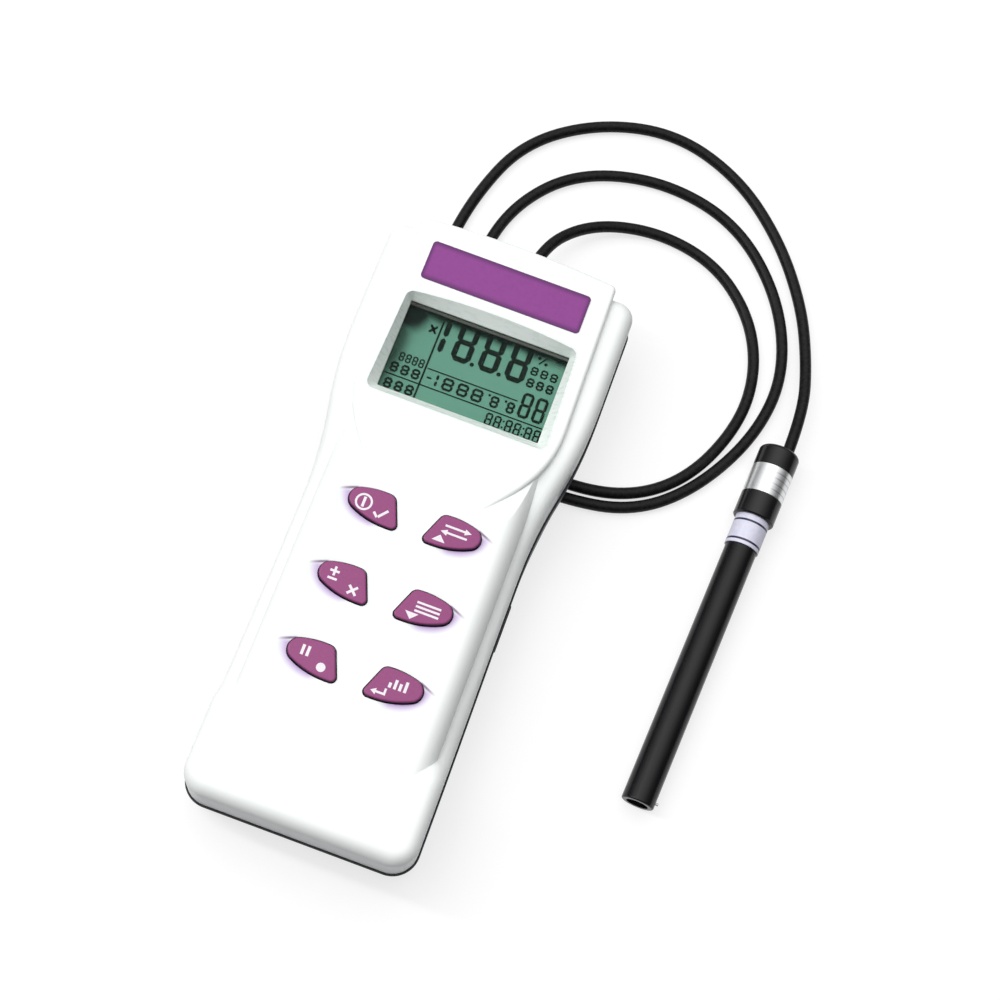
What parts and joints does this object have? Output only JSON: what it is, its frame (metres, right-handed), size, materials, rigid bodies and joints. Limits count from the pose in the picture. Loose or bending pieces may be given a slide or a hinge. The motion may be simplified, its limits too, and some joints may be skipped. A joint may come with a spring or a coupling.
{
  "type": "hand-held conductivity meter",
  "caption": "Hand-held conductivity meter with display, leaf-shaped sprung keys, a sliding battery cover and a round probe on a coiled cord.",
  "frame": {"origin": "on the resting plane, under the middle of the meter, on the flat of its back", "axes": "+Y from the foot end to the display end, +Z out of the front, +X to the right seen from the front"},
  "size_m": [0.1435, 0.2637, 0.033],
  "materials": {
    "case": "satin, off-white with a faint green tone",
    "rear_case": "satin, dark slate",
    "seal": "matt black",
    "title_plate": "printed film, bare purple",
    "bezel": "gloss, pale grey-green",
    "window": "clear",
    "lcd_frame": "matt grey",
    "lcd": "green-grey display with dark segments",
    "strip": "pink silicone with dark carbon layers",
    "board": "green solder resist",
    "chips": "moulded black",
    "screws": "zinc plated",
    "switches": "moulded black",
    "springs": "nickel plated",
    "cells": "bare printed sleeve",
    "brass": "turned",
    "gland": "matt black",
    "nut": "moulded black",
    "plug": "moulded ivory",
    "jack": "moulded black",
    "flap": "matt dark grey",
    "cord": "satin black",
    "keys": "satin purple with white signs",
    "tube": "satin black",
    "handle": "gloss black",
    "band": "silver film, bare",
    "cap": "satin black",
    "ring": "white with a lavender tone, two dark lines",
    "electrodes": "polished"
  },
  "bodies": {
    "meter": {"front_case": "case", "rear_case": "rear_case", "case_seal": "seal", "title_plate": "title_plate", "display_bezel": "bezel", "display_window": "window", "lcd_frame": "lcd_frame", "lcd_glass": "lcd", "lcd_connectors": "strip", "main_board": "board", "board_chips": "chips", "board_screws": "screws", "tact_switches": "switches", "switch_domes": "springs", "battery_cells": "cells", "battery_springs": "springs", "battery_plates": "springs", "case_screws": "screws", "screw_inserts": "brass", "cable_gland": "gland", "gland_nut": "nut", "probe_connector": "plug", "dc_jack": "jack", "flap_pin": "screws", "probe_cord": "cord", "probe_tube": "tube", "probe_head": "handle", "label_band": "band", "probe_cap": "cap", "marking_ring": "ring", "probe_seal": "gland", "cell_core": "tube", "cell_electrodes": "electrodes", "sensor_pin": "electrodes"},
    "key_power_body": {"key_power": "keys"},
    "key_up_body": {"key_up": "keys"},
    "key_calibrate_body": {"key_calibrate": "keys"},
    "key_down_body": {"key_down": "keys"},
    "key_hold_body": {"key_hold": "keys"},
    "key_enter_body": {"key_enter": "keys"},
    "battery_cover_body": {"battery_cover": "rear_case"},
    "jack_cover_body": {"jack_cover": "flap"}
  },
  "joints": [
    {"name": "key_power_press", "type": "slide", "parent": "meter", "child": "key_power_body", "axis": [0, 0, 1], "range_m": [-0.0008, 0], "stiffness_N_per_m": 1500},
    {"name": "key_up_press", "type": "slide", "parent": "meter", "child": "key_up_body", "axis": [0, 0, 1], "range_m": [-0.0008, 0], "stiffness_N_per_m": 1500},
    {"name": "key_calibrate_press", "type": "slide", "parent": "meter", "child": "key_calibrate_body", "axis": [0, 0, 1], "range_m": [-0.0008, 0], "stiffness_N_per_m": 1500},
    {"name": "key_down_press", "type": "slide", "parent": "meter", "child": "key_down_body", "axis": [0, 0, 1], "range_m": [-0.0008, 0], "stiffness_N_per_m": 1500},
    {"name": "key_hold_press", "type": "slide", "parent": "meter", "child": "key_hold_body", "axis": [0, 0, 1], "range_m": [-0.0008, 0], "stiffness_N_per_m": 1500},
    {"name": "key_enter_press", "type": "slide", "parent": "meter", "child": "key_enter_body", "axis": [0, 0, 1], "range_m": [-0.0008, 0], "stiffness_N_per_m": 1500},
    {"name": "battery_cover_slide", "type": "slide", "parent": "meter", "child": "battery_cover_body", "axis": [0, -1, 0], "range_m": [0, 0.0575]},
    {"name": "jack_cover_hinge", "type": "hinge", "parent": "meter", "child": "jack_cover_body", "pos_m": [0.0336, -0.01025, 0.0084], "axis": [0, 0, 1], "range_deg": [0, 95]}
  ]
}
